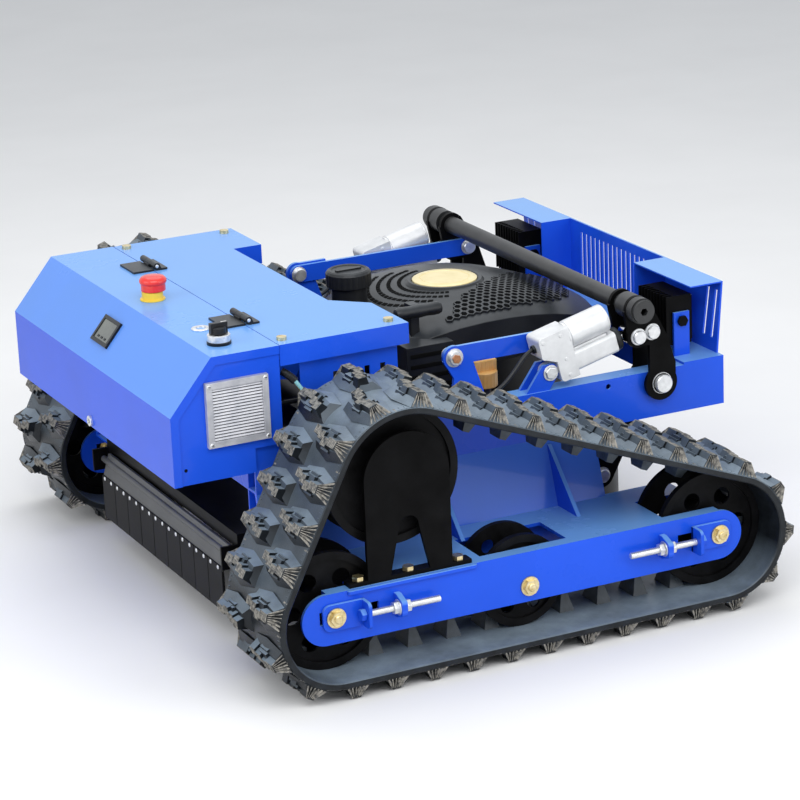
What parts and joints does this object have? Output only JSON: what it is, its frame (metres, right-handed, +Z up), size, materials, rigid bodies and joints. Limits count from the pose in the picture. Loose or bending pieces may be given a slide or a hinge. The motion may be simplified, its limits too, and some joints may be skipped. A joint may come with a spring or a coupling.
{
  "type": "remote control slope mower",
  "caption": "Low tracked slope mower with a petrol engine on a cutting deck that a linkage lifts, an electronics box behind and a guarded lamp platform in front.",
  "frame": {"origin": "ground level under the middle of the machine's outline", "axes": "+X forward to the lamps, +Y to the machine's left, +Z up"},
  "size_m": [0.8792, 1.024, 0.4879],
  "materials": {
    "blue_paint": "gloss blue powder coat",
    "black_paint": "satin black paint",
    "rubber": "worn dark rubber",
    "black_steel": "black painted steel wheels",
    "zinc": "yellow zinc plate",
    "silver": "bare alloy",
    "chrome_rod": "polished rod",
    "black_plastic": "black moulded plastic",
    "electronics": "battery and driver cases",
    "cast_alloy": "grey cast alloy",
    "motor_steel": "dark motor body",
    "pale_plate": "pale yellow plate",
    "orange_plastic": "orange cap",
    "red_plastic": "red push button",
    "yellow_plastic": "yellow collar and bright rings",
    "blade_steel": "blade steel",
    "lamp_body": "black finned lamp body"
  },
  "bodies": {
    "chassis": {"side_frame_right": "blue_paint", "side_frame_left": "blue_paint", "track_beam_right": "blue_paint", "track_beam_left": "blue_paint", "sprocket_guard_right": "black_paint", "sprocket_guard_left": "black_paint", "track_belt_right": "rubber", "track_belt_left": "rubber", "wheel_axles": "zinc", "track_tensioners": "zinc", "rear_bulkhead": "blue_paint", "front_platform": "blue_paint", "front_guard": "blue_paint", "control_box": "blue_paint", "cover_hinge_leaves": "black_plastic", "rear_cover": "blue_paint", "cover_walls": "blue_paint", "fan_filter": "silver", "fan_housing": "black_plastic", "control_electronics": "electronics", "drive_motors": "motor_steel", "actuator_brackets": "blue_paint", "zinc_bolts": "zinc", "wiring_loom": "rubber"},
    "lid": {"box_lid": "blue_paint", "lid_hinge_leaves": "black_plastic", "panel_fittings": "yellow_plastic", "display_meter": "black_plastic"},
    "stop_button": {"stop_button": "red_plastic"},
    "selector": {"selector_knob": "black_plastic"},
    "latch": {"lid_latch": "zinc"},
    "fan": {"fan_rotor": "black_plastic"},
    "rocker": {"rocker_right": "black_paint", "rocker_left": "black_paint", "cross_tube": "black_paint"},
    "cranks": {"rear_cranks": "blue_paint"},
    "ties": {"tie_bars": "blue_paint"},
    "actuator_right": {"lift_actuator_right": "silver"},
    "actuator_left": {"lift_actuator_left": "silver"},
    "rod_right": {"actuator_rod_right": "chrome_rod"},
    "rod_left": {"actuator_rod_left": "chrome_rod"},
    "deck": {"mower_deck": "black_paint", "engine_block": "cast_alloy", "engine_cowl": "black_plastic", "engine_badge": "pale_plate"},
    "fuel_cap": {"fuel_cap": "black_plastic"},
    "recoil": {"recoil_handle": "black_plastic"},
    "dipstick": {"dipstick": "orange_plastic"},
    "blade": {"cutter_blade": "blade_steel"},
    "flap": {"rear_flap": "black_paint"},
    "lamp_right": {"lamp_right": "lamp_body"},
    "lamp_left": {"lamp_left": "lamp_body"},
    "sprocket_right": {"sprocket_right": "black_steel"},
    "rear_idler_right": {"rear_idler_right": "black_steel"},
    "front_idler_right": {"front_idler_right": "black_steel"},
    "mid_roller_right": {"mid_roller_right": "black_steel"},
    "sprocket_left": {"sprocket_left": "black_steel"},
    "rear_idler_left": {"rear_idler_left": "black_steel"},
    "front_idler_left": {"front_idler_left": "black_steel"},
    "mid_roller_left": {"mid_roller_left": "black_steel"}
  },
  "joints": [
    {"name": "track_drive_right", "type": "hinge", "parent": "chassis", "child": "sprocket_right", "pos_m": [-0.176, -0.422, 0.2893], "axis": [0, 1, 0], "continuous": true, "deforming": ["track_belt_right"]},
    {"name": "rear_idler_spin_right", "type": "hinge", "parent": "chassis", "child": "rear_idler_right", "pos_m": [-0.282, -0.422, 0.1143], "axis": [0, 1, 0], "continuous": true},
    {"name": "front_idler_spin_right", "type": "hinge", "parent": "chassis", "child": "front_idler_right", "pos_m": [0.32, -0.422, 0.1143], "axis": [0, 1, 0], "continuous": true},
    {"name": "roller_spin_right", "type": "hinge", "parent": "chassis", "child": "mid_roller_right", "pos_m": [0.015, -0.422, 0.0973], "axis": [0, 1, 0], "continuous": true},
    {"name": "track_drive_left", "type": "hinge", "parent": "chassis", "child": "sprocket_left", "pos_m": [-0.176, 0.422, 0.2893], "axis": [0, 1, 0], "continuous": true, "deforming": ["track_belt_left"]},
    {"name": "rear_idler_spin_left", "type": "hinge", "parent": "chassis", "child": "rear_idler_left", "pos_m": [-0.282, 0.422, 0.1143], "axis": [0, 1, 0], "continuous": true},
    {"name": "front_idler_spin_left", "type": "hinge", "parent": "chassis", "child": "front_idler_left", "pos_m": [0.32, 0.422, 0.1143], "axis": [0, 1, 0], "continuous": true},
    {"name": "roller_spin_left", "type": "hinge", "parent": "chassis", "child": "mid_roller_left", "pos_m": [0.015, 0.422, 0.0973], "axis": [0, 1, 0], "continuous": true},
    {"name": "lid_hinge", "type": "hinge", "parent": "chassis", "child": "lid", "pos_m": [-0.2655, 0, 0.4581], "axis": [0, 1, 0], "range_deg": [0, 90]},
    {"name": "stop_press", "type": "slide", "parent": "lid", "child": "stop_button", "axis": [0, 0, -1], "range_m": [0, 0.005], "stiffness_N_per_m": 300},
    {"name": "selector_turn", "type": "hinge", "parent": "lid", "child": "selector", "pos_m": [-0.336, -0.26, 0.46], "axis": [0, 0, 1], "range_deg": [0, 90]},
    {"name": "latch_turn", "type": "hinge", "parent": "lid", "child": "latch", "pos_m": [-0.4355, 0.004, 0.286], "axis": [1, 0, 0], "range_deg": [0, 90]},
    {"name": "fan_spin", "type": "hinge", "parent": "chassis", "child": "fan", "pos_m": [-0.3375, -0.3, 0.3706], "axis": [0, 1, 0], "continuous": true},
    {"name": "deck_lift", "type": "hinge", "parent": "chassis", "child": "rocker", "pos_m": [0.327, 0, 0.295], "axis": [0, 1, 0], "range_deg": [0, 28]},
    {"name": "rear_crank_turn", "type": "hinge", "parent": "chassis", "child": "cranks", "pos_m": [0.029, 0, 0.295], "axis": [0, 1, 0], "range_deg": [0, 28]},
    {"name": "tie_turn", "type": "hinge", "parent": "rocker", "child": "ties", "pos_m": [0.312, 0, 0.375], "axis": [0, 1, 0], "range_deg": [-28, 0]},
    {"name": "deck_hang", "type": "hinge", "parent": "rocker", "child": "deck", "pos_m": [0.249, 0, 0.155], "axis": [0, 1, 0], "range_deg": [-28, 0]},
    {"name": "actuator_tilt_right", "type": "hinge", "parent": "chassis", "child": "actuator_right", "pos_m": [0.152, -0.291, 0.3366], "axis": [0, -1, 0], "range_deg": [0, 0.3]},
    {"name": "rod_slide_right", "type": "slide", "parent": "actuator_right", "child": "rod_right", "axis": [0.9699, 0, 0.2435], "range_m": [0, 0.042]},
    {"name": "actuator_tilt_left", "type": "hinge", "parent": "chassis", "child": "actuator_left", "pos_m": [0.152, 0.291, 0.3366], "axis": [0, -1, 0], "range_deg": [0, 0.3]},
    {"name": "rod_slide_left", "type": "slide", "parent": "actuator_left", "child": "rod_left", "axis": [0.9699, 0, 0.2435], "range_m": [0, 0.042]},
    {"name": "fuel_cap_off", "type": "slide", "parent": "deck", "child": "fuel_cap", "axis": [0, 0, 1], "range_m": [0, 0.05]},
    {"name": "recoil_pull", "type": "slide", "parent": "deck", "child": "recoil", "axis": [0, -1, 0], "range_m": [0, 0.25], "stiffness_N_per_m": 30},
    {"name": "dipstick_out", "type": "slide", "parent": "deck", "child": "dipstick", "axis": [0, 0, 1], "range_m": [0, 0.06]},
    {"name": "blade_spin", "type": "hinge", "parent": "deck", "child": "blade", "pos_m": [0.139, 0, 0.072], "axis": [0, 0, 1], "continuous": true},
    {"name": "flap_swing", "type": "hinge", "parent": "deck", "child": "flap", "pos_m": [-0.333, 0, 0.138], "axis": [0, 1, 0], "range_deg": [0, 70]},
    {"name": "lamp_tilt_right", "type": "hinge", "parent": "chassis", "child": "lamp_right", "pos_m": [0.389, -0.228, 0.368], "axis": [0, 1, 0], "range_deg": [-20, 20]},
    {"name": "lamp_tilt_left", "type": "hinge", "parent": "chassis", "child": "lamp_left", "pos_m": [0.389, 0.228, 0.368], "axis": [0, 1, 0], "range_deg": [-20, 20]}
  ],
  "couplings": [
    {"joint": "rear_idler_spin_right", "follows": "track_drive_right", "ratio": 1.168},
    {"joint": "front_idler_spin_right", "follows": "track_drive_right", "ratio": 1.168},
    {"joint": "roller_spin_right", "follows": "track_drive_right", "ratio": 1.4426},
    {"joint": "rear_idler_spin_left", "follows": "track_drive_left", "ratio": 1.168},
    {"joint": "front_idler_spin_left", "follows": "track_drive_left", "ratio": 1.168},
    {"joint": "roller_spin_left", "follows": "track_drive_left", "ratio": 1.4426},
    {"joint": "rear_crank_turn", "follows": "deck_lift", "ratio": 1},
    {"joint": "tie_turn", "follows": "deck_lift", "ratio": -1},
    {"joint": "deck_hang", "follows": "deck_lift", "ratio": -1},
    {"joint": "actuator_tilt_right", "follows": "deck_lift", "ratio": 0.0074},
    {"joint": "rod_slide_right", "follows": "deck_lift", "m_per_rad": 0.0842},
    {"joint": "actuator_tilt_left", "follows": "deck_lift", "ratio": 0.0074},
    {"joint": "rod_slide_left", "follows": "deck_lift", "m_per_rad": 0.0842}
  ]
}
